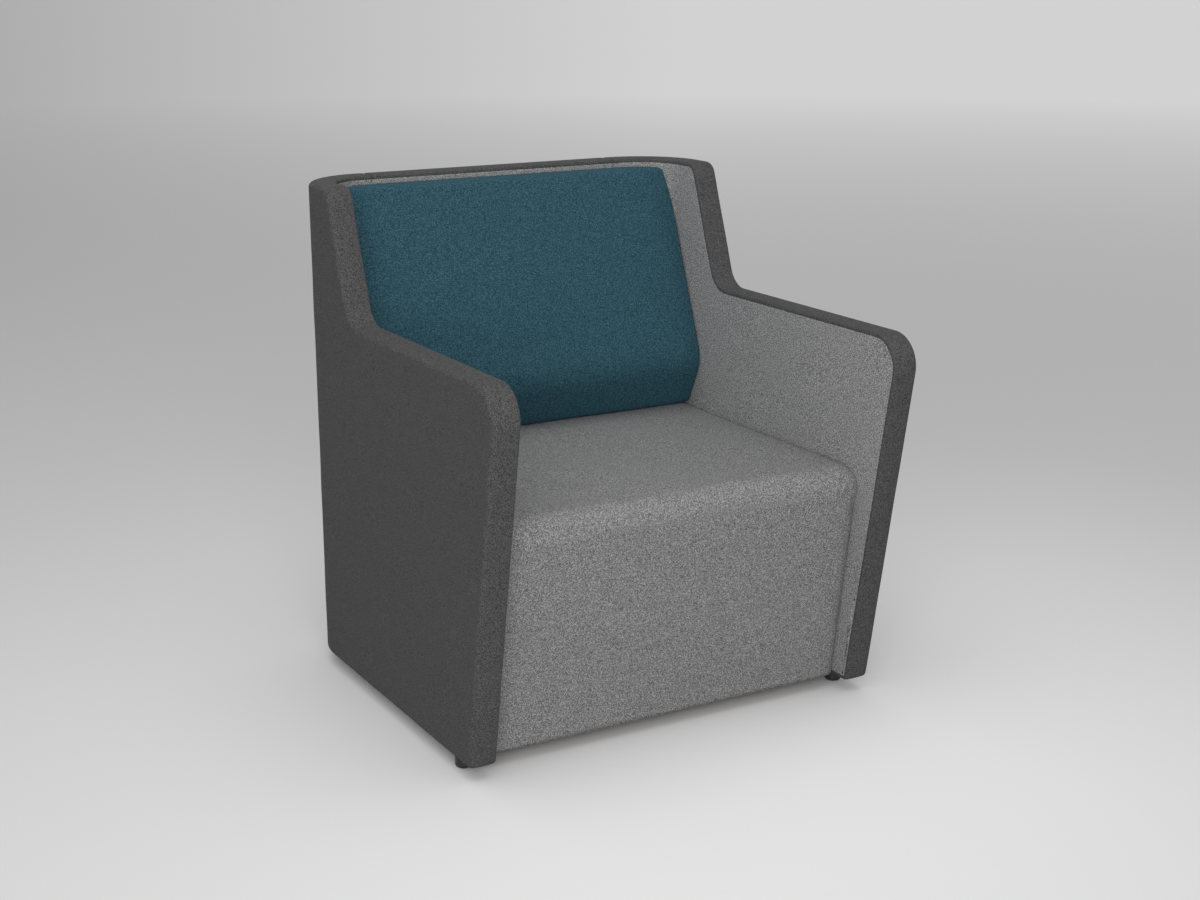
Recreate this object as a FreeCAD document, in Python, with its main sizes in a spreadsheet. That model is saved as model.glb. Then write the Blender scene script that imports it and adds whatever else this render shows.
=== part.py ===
import FreeCAD, Part
import Sketcher
import os
from math import hypot

# Lounge chair with a wrap-around upholstered shell, a fixed seat, a back pad and four levelling
# glides. Millimetres. +X is the viewer's right when facing the chair, +Y is the rear, +Z is up.
# The origin is on the floor, under the middle of the chair's outline.

doc = FreeCAD.newDocument("lounge_chair")
sheet = doc.addObject("Spreadsheet::Sheet", "Sizes")

# Driving sizes
driving = {
    # shell, seen from outside
    "overall_width": 750,
    "overall_depth": 766,
    "overall_height": 844,
    "panel_thickness": 45,
    "floor_gap": 23,
    "arm_height": 631,
    "wing_top_depth": 174,
    "wing_rake": 20,
    "front_rake": 10,
    "plan_corner_radius": 125,
    "wing_top_radius": 25,
    "wing_foot_radius": 45,
    "arm_front_radius": 53,
    "bottom_front_radius": 10,
    "outer_edge_round": 8,
    "inner_edge_round": 4,
    "seam_inset": 7,
    "cover_seam_shift": 12,
    "fabric_thickness": 1.5,
    "shell_foam_thickness": 10,
    # seat
    "seat_height": 404,
    "seat_setback": 34,
    "seat_front_rake": 8.4,
    "seat_front_radius": 36,
    "seat_side_radius": 9,
    "seat_gap": 1,
    "seat_front_lift": 2,
    "front_foam_thickness": 12,
    "front_board_thickness": 12,
    "deck_height": 300,
    "webbing_thickness": 2.5,
    "webbing_width": 70,
    "webbing_count": 6,
    # timber frame under the seat
    "rail_thickness": 28,
    "seat_rail_height": 70,
    "base_rail_height": 60,
    "base_rail_lift": 5,
    "corner_block_side": 55,
    "corner_block_height": 40,
    "dust_cover_thickness": 1,
    # back pad
    "pad_gap": 0.5,
    "pad_bottom_thickness": 128,
    "pad_bulge_thickness": 170.5,
    "pad_bulge_height": 88,
    "pad_top_thickness": 42,
    "pad_top_drop": 14,
    "pad_bulge_radius": 65,
    "pad_edge_radius": 8,
    "pad_board_thickness": 9,
    "pad_board_margin": 30,
    # bolts that hold the seat frame in the shell
    "frame_bolt_diameter": 8,
    "frame_bolt_clearance": 0.5,
    "frame_bolt_head_radius": 8,
    "frame_bolt_head_height": 5,
    "frame_bolt_length": 55,
    "frame_bolt_front_gap": 16,
    "frame_bolt_rear_gap": 67,
    "frame_bolt_end_inset": 160,
    "frame_nut_barrel_radius": 5,
    "frame_nut_length": 12.5,
    "frame_nut_flange_radius": 11,
    "frame_nut_flange_thickness": 1.5,
    # bolts that hold the back pad
    "pad_bolt_diameter": 6,
    "pad_bolt_head_radius": 6,
    "pad_bolt_head_height": 4,
    "pad_bolt_side_inset": 40,
    "pad_bolt_end_inset": 58,
    "pad_nut_barrel_radius": 4,
    "pad_nut_flange_radius": 9,
    "pad_nut_flange_thickness": 1.2,
    # dowels and screws
    "dowel_diameter": 10,
    "dowel_length": 50,
    "dowel_count": 4,
    "board_screw_diameter": 4,
    "board_screw_head_radius": 4,
    "board_screw_head_depth": 3,
    "board_screw_length": 32,
    "board_screw_count": 5,
    # levelling glides
    "glide_radius": 14,
    "glide_top_gap": 0.4,
    "glide_sole_round": 5,
    "glide_front_setback": 66,
    "glide_rear_side_gap": 25,
    "glide_foot_radius": 8,
    "glide_foot_height": 4,
    "glide_foot_lift": 7,
    "glide_play": 0.05,
    "stud_diameter": 8,
    "stud_reach": 35,
    "stud_chamfer": 1,
    "stud_hole_clearance": 1,
    "insert_radius": 6.5,
    "insert_length": 25,
}
for row, (alias, size) in enumerate(driving.items(), start=1):
    sheet.set(f"A{row}", alias.replace("_", " "))
    sheet.set(f"B{row}", str(size))
    sheet.setAlias(f"B{row}", alias)
doc.recompute()


class Size:
    """A size kept as the text of a sheet expression, so that + - * / write a longer one."""

    def __init__(self, text):
        self.text = str(text)

    def __add__(self, other):
        return Size(f"({self.text} + {as_text(other)})")

    def __radd__(self, other):
        return Size(f"({as_text(other)} + {self.text})")

    def __sub__(self, other):
        return Size(f"({self.text} - {as_text(other)})")

    def __rsub__(self, other):
        return Size(f"({as_text(other)} - {self.text})")

    def __mul__(self, other):
        return Size(f"({self.text} * {as_text(other)})")

    __rmul__ = __mul__

    def __truediv__(self, other):
        return Size(f"({self.text} / {as_text(other)})")

    def __rtruediv__(self, other):
        return Size(f"({as_text(other)} / {self.text})")

    def __neg__(self):
        return Size(f"(0 - {self.text})")

    def mm(self):
        return float(sheet.evalExpression(self.text))


def as_text(size):
    return size.text if isinstance(size, Size) else str(size)


def mm(size):
    return size.mm() if isinstance(size, Size) else float(size)


def cell(alias):
    return Size(f"Sizes.{alias}")


def tan(angle):
    return Size(f"tan({as_text(angle)})")


def cos(angle):
    return Size(f"cos({as_text(angle)})")


def root(size):
    return Size(f"sqrt({as_text(size)})")


def bind(item, field, size):
    item.setExpression(field, as_text(size))


# Limits used to find edges, and the length by which a cutting tool passes a face
corner_angle = 0.2
smallest_round = 0.4
place_slack = 0.05
rim_slack = 0.5
overcut = 1


# Building blocks: bodies with sketches, boxes, turned stacks and booleans
def new_body(label):
    body = doc.addObject("PartDesign::Body", label)
    body.Label = label
    return body


def outline(body, name, plane_role, corners):
    """A closed sketch with straight sides, each corner held by two dimensions from the origin."""
    sketch = body.newObject("Sketcher::SketchObject", name)
    plane = [one for one in body.Origin.OriginFeatures if one.Role == plane_role][0]
    sketch.AttachmentSupport = [(plane, "")]
    sketch.MapMode = "FlatFace"
    spots = [FreeCAD.Vector(mm(across), mm(up), 0) for across, up in corners]
    for start, end in zip(spots, spots[1:] + spots[:1]):
        sketch.addGeometry(Part.LineSegment(start, end), False)
    count = len(corners)
    for index in range(count):
        following = (index + 1) % count
        sketch.addConstraint(Sketcher.Constraint("Coincident", index, 2, following, 1))
    for index, (across, up) in enumerate(corners):
        for kind, size in (("DistanceX", across), ("DistanceY", up)):
            held = sketch.addConstraint(Sketcher.Constraint(kind, -1, 1, index, 1, mm(size)))
            bind(sketch, f"Constraints[{held}]", size)
    return sketch


def pad_across(body, sketch, length):
    """Material on both sides of the sketch, length in all."""
    pad = body.newObject("PartDesign::Pad", body.Label + "_pad")
    pad.Profile = sketch
    pad.Midplane = True
    bind(pad, "Length", length)
    doc.recompute()
    return pad


def turn(body, sketch):
    """A full turn of the sketch about its own upright axis."""
    solid = body.newObject("PartDesign::Revolution", body.Label + "_turned")
    solid.Profile = sketch
    solid.ReferenceAxis = (sketch, ["V_Axis"])
    solid.Angle = 360
    doc.recompute()
    return solid


def is_sharp(shape, edge):
    """True where the two faces beside the edge meet at a corner instead of running on smoothly."""
    faces = shape.ancestorsOfType(edge, Part.Face)
    if len(faces) != 2:
        return False
    middle = edge.valueAt((edge.FirstParameter + edge.LastParameter) / 2)
    first, second = [face.normalAt(*face.Surface.parameter(middle)) for face in faces]
    return first.getAngle(second) > corner_angle


def round_edges(body, name, radius, wanted):
    """Rounds the sharp edges for which wanted(edge's middle, edge) is true.

    A radius that a drawn-in layer has used up leaves its edge square.
    """
    if mm(radius) < smallest_round:
        return
    doc.recompute()
    before = body.Tip
    shape = before.Shape
    names = []
    for index, edge in enumerate(shape.Edges, start=1):
        middle = edge.valueAt((edge.FirstParameter + edge.LastParameter) / 2)
        if wanted(middle, edge) and is_sharp(shape, edge):
            names.append(f"Edge{index}")
    if not names:
        raise ValueError(f"{body.Label}: no edge found for {name}")
    fillet = body.newObject("PartDesign::Fillet", name)
    fillet.Base = (before, names)
    bind(fillet, "Radius", radius)
    doc.recompute()


def near(a, b, slack=place_slack):
    return abs(a - b) < slack


def along_x_at(y, z):
    return lambda middle, edge: near(middle.y, mm(y)) and near(middle.z, mm(z)) and near(middle.x, 0)


def upright_at(x, y):
    return lambda middle, edge: near(abs(middle.x), mm(x)) and near(middle.y, mm(y))


def box(label, low, high):
    """A block between two corners, each given as three sizes."""
    block = doc.addObject("Part::Box", label)
    block.Label = label
    for side, start, end in zip(("Length", "Width", "Height"), low, high):
        bind(block, side, as_size(end) - start)
    place(block, low)
    return block


def as_size(size):
    return size if isinstance(size, Size) else Size(size)


def place(item, spot):
    for axis, size in zip("xyz", spot):
        bind(item, f"Placement.Base.{axis}", size)


UPWARDS = FreeCAD.Vector(0, 0, 1)
AXES = {"x": FreeCAD.Vector(1, 0, 0), "y": FreeCAD.Vector(0, 1, 0), "z": UPWARDS}


def cylinder(label, spot, direction, start, end, radius):
    """A rod from start to end, measured from the spot along a direction such as +x or -y."""
    sign, letter = direction
    heading = AXES[letter] if sign == "+" else -AXES[letter]
    rod = doc.addObject("Part::Cylinder", label)
    rod.Placement = FreeCAD.Placement(FreeCAD.Vector(), FreeCAD.Rotation(UPWARDS, heading))
    bind(rod, "Radius", radius)
    bind(rod, "Height", as_size(end) - start)
    foot = dict(zip(AXES, spot))
    here = as_size(foot[letter])
    foot[letter] = here + start if sign == "+" else here - start
    place(rod, foot.values())
    return rod


def group(label, pieces):
    bundle = doc.addObject("Part::Compound", label)
    bundle.Label = label
    bundle.Links = pieces
    return bundle


def fuse(label, pieces):
    joined = doc.addObject("Part::MultiFuse", label)
    joined.Label = label
    joined.Shapes = pieces
    return joined


def cut(label, base, tool):
    left = doc.addObject("Part::Cut", label)
    left.Label = label
    left.Base = base
    left.Tool = tool
    return left


def common(label, first, second):
    shared = doc.addObject("Part::MultiCommon", label)
    shared.Label = label
    shared.Shapes = [first, second]
    return shared


def stacks(label, spots, steps, bore=None):
    """Like turned pieces, one for each (place, direction): steps of (start, end, radius)."""
    pieces = []
    for number, (spot, direction) in enumerate(spots, start=1):
        name = f"{label}_{number}"
        rods = [cylinder(f"{name}_step", spot, direction, *step) for step in steps]
        piece = fuse(f"{name}_whole", rods) if len(rods) > 1 else rods[0]
        if bore:
            piece = cut(f"{name}_bored", piece, cylinder(f"{name}_bore", spot, direction, *bore))
        pieces.append(piece)
    return group(label, pieces)


parts = []


def keep(item):
    """Marks an object as a piece of the chair, written to a file of its own."""
    parts.append(item)
    return item


# Lines and levels that several pieces share
thickness = cell("panel_thickness")
fabric = cell("fabric_thickness")
padding = fabric + cell("shell_foam_thickness")
half_width = cell("overall_width") / 2
rear = cell("overall_depth") / 2
top = cell("overall_height")
bottom = cell("floor_gap")
arm = cell("arm_height")
wing_rake = cell("wing_rake")
front_rake = cell("front_rake")
corner = cell("plan_corner_radius")
inner_side = half_width - thickness
inner_rear = rear - thickness
seam_x = half_width - corner
corner_y = rear - corner
nose_reach = cell("arm_front_radius") * (tan(front_rake) + 1 / cos(front_rake) - 1)
arm_nose = -rear - nose_reach


def wing_line(z):
    """Depth position of the wings' raked front edge at height z."""
    return rear - cell("wing_top_depth") - (top - z) * tan(wing_rake)


def front_line(z):
    """Depth position of the side panels' raked front edge at height z."""
    return arm_nose + (arm - z) * tan(front_rake)


def plan_depth(x, y):
    """How far a point lies inside the shell's outer face, seen from above."""
    beside = abs(x) - mm(seam_x)
    behind = y - mm(corner_y)
    if beside > 0 and behind > 0:
        return mm(corner) - hypot(beside, behind)
    return min(mm(half_width) - abs(x), mm(rear) - y)


def rim_edge_at(depth):
    """Chooses the edges that run along the shell's rim at the given depth inside its outer face."""
    def wanted(middle, edge):
        ends = [vertex.Point for vertex in edge.Vertexes]
        return all(near(plan_depth(spot.x, spot.y), mm(depth), rim_slack) for spot in ends + [middle])
    return wanted


# Shell: a U in plan, cut to the arm and wing outline from the side
def shell_form(label, rim, outer, inner, outer_round, inner_round):
    """The shell with its rim drawn in by rim, between two depths inside the outer face."""
    body = new_body(label)
    low = bottom + rim
    high = top - rim
    wing_shift = rim / cos(wing_rake)
    front_shift = rim / cos(front_rake)
    wing_top = wing_line(high) + wing_shift
    wing_foot = wing_line(arm - rim) + wing_shift
    nose = front_line(arm - rim) + front_shift
    toe = front_line(low) + front_shift
    corners = [(rear - outer, low), (rear - outer, high), (wing_top, high), (wing_foot, arm - rim),
               (nose, arm - rim), (toe, low)]
    profile = outline(body, label + "_side_view", "YZ_Plane", corners)
    pad_across(body, profile, 2 * (half_width - outer))
    round_edges(body, label + "_wing_top", cell("wing_top_radius") - rim, along_x_at(wing_top, high))
    round_edges(body, label + "_wing_foot", cell("wing_foot_radius") + rim,
                along_x_at(wing_foot, arm - rim))
    round_edges(body, label + "_nose", cell("arm_front_radius") - rim, along_x_at(nose, arm - rim))
    round_edges(body, label + "_toe", cell("bottom_front_radius") - rim, along_x_at(toe, low))
    side = half_width - inner
    back = rear - inner
    front = -2 * rear
    room = outline(body, label + "_room", "XY_Plane",
                   [(-side, front), (side, front), (side, back), (-side, back)])
    pocket = body.newObject("PartDesign::Pocket", label + "_pocket")
    pocket.Profile = room
    pocket.Type = "ThroughAll"
    pocket.Reversed = True
    round_edges(body, label + "_outer_corners", corner - outer, upright_at(half_width - outer, rear - outer))
    round_edges(body, label + "_inner_corners", corner - inner, upright_at(side, back))
    if outer_round:
        round_edges(body, label + "_outer_rim", outer_round, rim_edge_at(outer))
        round_edges(body, label + "_inner_rim", inner_round, rim_edge_at(inner))
    return body


outer_round = cell("outer_edge_round")
inner_round = cell("inner_edge_round")
outer_form = shell_form("outer_form", Size(0), Size(0), thickness, outer_round, inner_round)
foam_form = shell_form("foam_form", fabric, fabric, thickness - fabric, outer_round - fabric,
                       inner_round - fabric)
core_form = shell_form("core_form", padding, padding, thickness - padding, None, None)
lining_form = shell_form("lining_form", cell("seam_inset"), thickness / 2, thickness + overcut, None, None)



def well_form(label, gap):
    """The upright room between the shell's inner faces, drawn in by gap."""
    body = new_body(label)
    side = inner_side - gap
    back = inner_rear - gap
    plan = outline(body, label + "_plan", "XY_Plane",
                   [(-side, -rear), (side, -rear), (side, back), (-side, back)])
    pad_across(body, plan, 2 * top)
    round_edges(body, label + "_corners", corner - thickness - gap, upright_at(side, back))
    return body


frame_well = well_form("frame_well", Size(0))
cloth_well = well_form("cloth_well", cell("seat_gap"))

# Three zones. The plywood parts meet where the straight back meets the rounded corners, and the
# covers are sewn a little nearer to the middle, clear of those glue joints.
reach = cell("overall_width") * 2


def three_zones(label, edge):
    """The spaces left of, between and right of two upright planes at the given distance."""
    return {
        "left_side": box(label + "_left_zone", (-reach, -reach, -reach), (-edge, reach, reach)),
        "back": box(label + "_back_zone", (-edge, -reach, -reach), (edge, reach, reach)),
        "right_side": box(label + "_right_zone", (edge, -reach, -reach), (reach, reach, reach)),
    }


core_zones = three_zones("core", seam_x)
cover_zones = three_zones("cover", seam_x - cell("cover_seam_shift"))

# Seat lines: the raked front, and the levels of the frames below the deck
seat_rake = cell("seat_front_rake")
seat_toe = front_line(bottom) + cell("seat_setback")
leg = fabric + cell("front_foam_thickness")
board_back = leg + cell("front_board_thickness")
deck = cell("deck_height")
rail = cell("rail_thickness")
base_low = bottom + cell("base_rail_lift")
base_high = base_low + cell("base_rail_height")
seat_rail_low = deck - cell("seat_rail_height")
bolt_levels = ((seat_rail_low + deck) / 2, (base_low + base_high) / 2)


def seat_front(z, behind=Size(0)):
    """Depth position, at height z, of a face that lies behind the seat's raked front."""
    return seat_toe - (z - bottom) * tan(seat_rake) + behind / cos(seat_rake)


# Back pad lines: its ends, and the board that it is fixed by
pad_low = cell("seat_height")
pad_high = top - cell("pad_top_drop")
margin = cell("pad_board_margin")
board_half = seam_x - margin
board_low = pad_low + margin
board_high = pad_high - margin

# Places of the fasteners
sides = ((-1, "-x"), (1, "+x"))
block_reach = cell("corner_block_side") + cell("frame_bolt_head_radius")
front_block = seat_front(seat_rail_low, board_back) + rail
rear_block = inner_rear - rail
bolt_front = front_block + block_reach + cell("frame_bolt_front_gap")
bolt_rear = rear_block - block_reach - cell("frame_bolt_rear_gap")
frame_bolts = []
for sign, direction in sides:
    for y in (bolt_front, bolt_rear):
        for z in bolt_levels:
            frame_bolts.append(((sign * (inner_side - rail), y, z), direction))
    for z in bolt_levels:
        x = sign * (inner_side - cell("frame_bolt_end_inset"))
        frame_bolts.append(((x, rear_block, z), "+y"))
pad_bolts = []
pad_bolt_x = board_half - cell("pad_bolt_side_inset")
for sign, direction in sides:
    for z in (board_low + cell("pad_bolt_end_inset"), board_high - cell("pad_bolt_end_inset")):
        pad_bolts.append(((sign * pad_bolt_x, rear - padding, z), "-y"))
glides = {}
for sign, side_name in ((-1, "left"), (1, "right")):
    front_x = sign * (half_width - thickness / 2)
    rear_x = sign * (seam_x - cell("glide_rear_side_gap"))
    glides["front_" + side_name] = (front_x, front_line(bottom) + cell("glide_front_setback"), Size(0))
    glides["rear_" + side_name] = (rear_x, rear - thickness / 2, Size(0))

# Bolts of the seat frame: from the rail's inner face, through lining and foam, into the core
core_thickness = thickness - 2 * padding
core_outer_face = rail + thickness - padding
bolt_radius = cell("frame_bolt_diameter") / 2
bolt_hole = bolt_radius + cell("frame_bolt_clearance")
nut_flange = core_outer_face - cell("frame_nut_flange_thickness")
keep(stacks("seat_frame_bolts", frame_bolts, [
    (-cell("frame_bolt_head_height"), 0, cell("frame_bolt_head_radius")),
    (0, cell("frame_bolt_length"), bolt_radius)]))
keep(stacks("seat_frame_tee_nuts", frame_bolts, [
    (core_outer_face - cell("frame_nut_length"), core_outer_face, cell("frame_nut_barrel_radius")),
    (nut_flange, core_outer_face, cell("frame_nut_flange_radius"))],
    bore=(0, core_outer_face + overcut, bolt_radius)))
frame_bolt_holes = stacks("frame_bolt_holes", frame_bolts, [(-overcut, rail + padding, bolt_hole)])
frame_nut_holes = stacks("frame_nut_holes", frame_bolts, [
    (rail + padding, core_outer_face, cell("frame_nut_barrel_radius")),
    (nut_flange, core_outer_face, cell("frame_nut_flange_radius"))])

# Bolts of the back pad: from the core's rear face, forward into the pad's board
pad_rear = inner_rear - cell("pad_gap")
pad_board = cell("pad_board_thickness")
board_rear = rear - padding - (pad_rear - fabric)
board_front = board_rear + pad_board
pad_bolt_radius = cell("pad_bolt_diameter") / 2
pad_head = cell("pad_bolt_head_height")
pad_nut_flange = cell("pad_nut_flange_thickness")
pad_bolt_hole = pad_bolt_radius + cell("frame_bolt_clearance")
keep(stacks("back_pad_bolts", pad_bolts, [
    (0, pad_head, cell("pad_bolt_head_radius")),
    (pad_head, board_front - pad_nut_flange, pad_bolt_radius)]))
keep(stacks("back_pad_tee_nuts", pad_bolts, [
    (board_rear, board_front, cell("pad_nut_barrel_radius")),
    (board_front - pad_nut_flange, board_front, cell("pad_nut_flange_radius"))],
    bore=(0, board_front + overcut, pad_bolt_radius)))
pad_bolt_holes = stacks("pad_bolt_holes", pad_bolts, [
    (0, pad_head, cell("pad_bolt_head_radius")),
    (pad_head, board_rear, pad_bolt_hole)])
pad_nut_holes = stacks("pad_nut_holes", pad_bolts, [
    (board_rear, board_front, cell("pad_nut_barrel_radius")),
    (board_front - pad_nut_flange, board_front, cell("pad_nut_flange_radius"))])

# Dowels between the corner formers and the flat panels
dowel_spots = []
core_middle = half_width - thickness / 2
core_low = bottom + padding
core_high = top - padding
for sign, direction in sides:
    for number in range(int(mm(cell("dowel_count")))):
        share = (number + Size("0.5")) / cell("dowel_count")
        z = core_low + (core_high - core_low) * share
        dowel_spots.append(((sign * core_middle, corner_y, z), "+y"))
        dowel_spots.append(((sign * seam_x, rear - thickness / 2, z), "+x"))
half_dowel = cell("dowel_length") / 2
dowels = keep(stacks("panel_dowels", dowel_spots, [(-half_dowel, half_dowel, cell("dowel_diameter") / 2)]))

# Threaded inserts of the glides, and the holes through cover and foam below them
stud_radius = cell("stud_diameter") / 2
stud_bore = stud_radius + cell("glide_play")
glide_spots = [(spot, "+z") for spot in glides.values()]
insert_low = bottom + padding
insert_high = insert_low + cell("insert_length")
keep(stacks("glide_inserts", glide_spots, [(insert_low, insert_high, cell("insert_radius"))],
            bore=(insert_low - overcut, insert_high + overcut, stud_bore)))
stud_holes = stacks("stud_holes", glide_spots, [
    (bottom - overcut, insert_low, stud_radius + cell("stud_hole_clearance"))])
insert_holes = stacks("insert_holes", glide_spots, [(insert_low, insert_high, cell("insert_radius"))])

# Shell pieces, layer by layer, each layer cut into its zones
skin = cut("skin", outer_form, foam_form)
cover_layer = cut("cover_layer", cut("folded_cover", skin, lining_form), stud_holes)
lining_holes = group("lining_holes", [frame_bolt_holes, pad_bolt_holes])
lining_layer = cut("lining_layer", common("whole_lining", skin, lining_form), lining_holes)
foam_holes = group("foam_holes", [frame_bolt_holes, pad_bolt_holes, stud_holes])
foam_layer = cut("foam_layer", cut("whole_foam", foam_form, core_form), foam_holes)
core_holes = group("core_holes", [frame_nut_holes, pad_bolt_holes, insert_holes, dowels])
core_layer = cut("core_layer", core_form, core_holes)
for zone_name, zone in cover_zones.items():
    keep(common(zone_name + "_cover", cover_layer, zone))
    keep(common(zone_name + "_lining", lining_layer, zone))
    keep(common(zone_name + "_foam", foam_layer, zone))
keep(common("back_panel", core_layer, core_zones["back"]))
for side_name, zone_name in (("left", "left_side"), ("right", "right_side")):
    half = common(side_name + "_core", core_layer, core_zones[zone_name])
    ahead = box(side_name + "_ahead_zone", (-reach, -reach, -reach), (reach, corner_y, reach))
    behind = box(side_name + "_behind_zone", (-reach, corner_y, -reach), (reach, reach, reach))
    keep(common(side_name + "_side_panel", half, ahead))
    keep(common(side_name + "_corner_former", half, behind))

# Seat: foam over a webbed timber frame, with one cloth over the top and down the front
seat_low = bottom + cell("seat_front_lift")
seat_high = cell("seat_height")
block_low = deck + cell("webbing_thickness")
seat_half = inner_side - cell("seat_gap")
seat_rear = inner_rear - cell("seat_gap")


def seat_form(label, skin_depth, spare):
    """The seat's padding in side view, drawn in by skin_depth where cloth covers it."""
    body = new_body(label)
    low = seat_low - spare
    high = seat_high - skin_depth
    under = block_low - spare
    back = seat_rear - skin_depth
    nose = seat_front(high, skin_depth)
    corners = [(seat_front(low, skin_depth), low), (nose, high), (back, high), (back, under),
               (seat_front(under, leg + spare), under), (seat_front(low, leg + spare), low)]
    profile = outline(body, label + "_side_view", "YZ_Plane", corners)
    half = seat_half - skin_depth
    pad_across(body, profile, 2 * half)
    round_edges(body, label + "_front", cell("seat_front_radius") - skin_depth, along_x_at(nose, high))
    rear_radius = corner - thickness - cell("seat_gap") - skin_depth
    round_edges(body, label + "_rear_corners", rear_radius, upright_at(half, back))

    def along_the_sides(middle, edge):
        on_top = near(middle.z, mm(high))
        in_front = near(middle.y, mm(seat_front(Size(middle.z), skin_depth)))
        bend = edge.Curve.TypeId == "Part::GeomCircle"
        return near(abs(middle.x), mm(half)) and (on_top or in_front or bend)

    round_edges(body, label + "_sides", cell("seat_side_radius") - skin_depth, along_the_sides)
    return body


seat_shell = seat_form("seat_shell", Size(0), Size(0))
seat_hollow = seat_form("seat_hollow", fabric, Size(overcut))
seat_padding = seat_form("seat_padding", fabric, Size(0))
keep(cut("seat_cover", seat_shell, seat_hollow))
above_deck = box("above_deck", (-reach, -reach, block_low), (reach, reach, reach))
below_deck = box("below_deck", (-reach, -reach, -reach), (reach, reach, block_low))
keep(common("seat_foam", seat_padding, above_deck))
keep(common("front_foam", seat_padding, below_deck))

# Front board and rails, all following the seat's rake
board_spread = 2 * inner_side / (cell("board_screw_count") + 1)
head_radius = cell("board_screw_head_radius")
sunk = head_radius * tan(seat_rake)
screw_spots = []
for level in bolt_levels:
    for number in range(int(mm(cell("board_screw_count")))):
        screw_x = board_spread * (number + 1) - inner_side
        screw_spots.append(((screw_x, seat_front(level, leg) + sunk, level), "+y"))
screw_head = cell("board_screw_head_depth")
screw_shank = (screw_head, cell("board_screw_length"), cell("board_screw_diameter") / 2)
keep(stacks("front_board_screws", screw_spots, [(0, screw_head, head_radius), screw_shank]))
screw_holes = stacks("front_board_screw_holes", screw_spots, [
    (-2 * sunk, screw_head, head_radius), screw_shank])
board_body = new_body("raked_board")
board_view = outline(board_body, "raked_board_side_view", "YZ_Plane", [
    (seat_front(base_low, leg), base_low), (seat_front(deck, leg), deck),
    (seat_front(deck, board_back), deck), (seat_front(base_low, board_back), base_low)])
pad_across(board_body, board_view, 2 * seat_half)
keep(cut("front_board", board_body, screw_holes))


def front_rail(label, low, high):
    body = new_body(label + "_blank")
    face = seat_front(low, board_back)
    view = outline(body, label + "_side_view", "YZ_Plane", [
        (face, low), (seat_front(high, board_back), high), (face + rail, high), (face + rail, low)])
    pad_across(body, view, 2 * inner_side)
    keep(cut(label, body, screw_holes))
    return face + rail


def bolted_rail(label, low, high):
    """A rail that fills the box between two corners, less the shell's rounded inner corners."""
    blank = common(label + "_fitted", box(label + "_blank", low, high), frame_well)
    keep(cut(label, blank, frame_bolt_holes))


for frame_name, low, high in (("seat", seat_rail_low, deck), ("base", base_low, base_high)):
    rail_front = front_rail(frame_name + "_front_rail", low, high)
    rail_back = inner_rear - rail
    bolted_rail(frame_name + "_rear_rail", (-inner_side, rail_back, low), (inner_side, inner_rear, high))
    for side_name, start, end in (("left", -inner_side, rail - inner_side),
                                  ("right", inner_side - rail, inner_side)):
        bolted_rail(f"{frame_name}_{side_name}_rail", (start, rail_front, low), (end, rail_back, high))

# Glue blocks in the corners of the seat frame
block_side = cell("corner_block_side")
blocks = []
inside_x = inner_side - rail
rail_faces = ((front_block, 1), (rear_block, -1))
for sign, direction in sides:
    for face, way in rail_faces:
        number = len(blocks) + 1
        body = new_body(f"corner_block_{number}")
        triangle = [(sign * inside_x, face), (sign * (inside_x - block_side), face),
                    (sign * inside_x, face + way * block_side)]
        view = outline(body, f"corner_block_{number}_plan", "XY_Plane", triangle)
        pad = body.newObject("PartDesign::Pad", f"corner_block_{number}_pad")
        pad.Profile = view
        bind(pad, "Length", cell("corner_block_height"))
        bind(body, "Placement.Base.z", deck - cell("corner_block_height"))
        blocks.append(body)
keep(group("seat_frame_corner_blocks", blocks))

# Webbing across the seat frame, front to back, and the cloth that closes the underside
bands = []
band = cell("webbing_width")
band_count = cell("webbing_count")
pitch = 2 * inside_x / band_count
for number in range(int(mm(band_count))):
    left = pitch * (number + Size("0.5")) - inside_x - band / 2
    bands.append(box(f"webbing_band_{number + 1}", (left, seat_front(deck, board_back), deck),
                     (left + band, inner_rear - rail / 2, block_low)))
keep(group("seat_webbing", bands))
dust_front = seat_front(base_low, board_back)
cloth_blank = box("cloth_blank", (-seat_half, dust_front, base_low - cell("dust_cover_thickness")),
                  (seat_half, seat_rear, base_low))
keep(common("underside_cloth", cloth_blank, cloth_well))

# Back pad: a board with shaped foam and a cloth all round it
bulge_z = pad_low + cell("pad_bulge_height")
pad_half = inner_side - cell("pad_gap")
pad_rise = pad_high - bulge_z
pad_lean = cell("pad_bulge_thickness") - cell("pad_top_thickness")
pad_slant = root(1 + (pad_lean / pad_rise) * (pad_lean / pad_rise))


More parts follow.
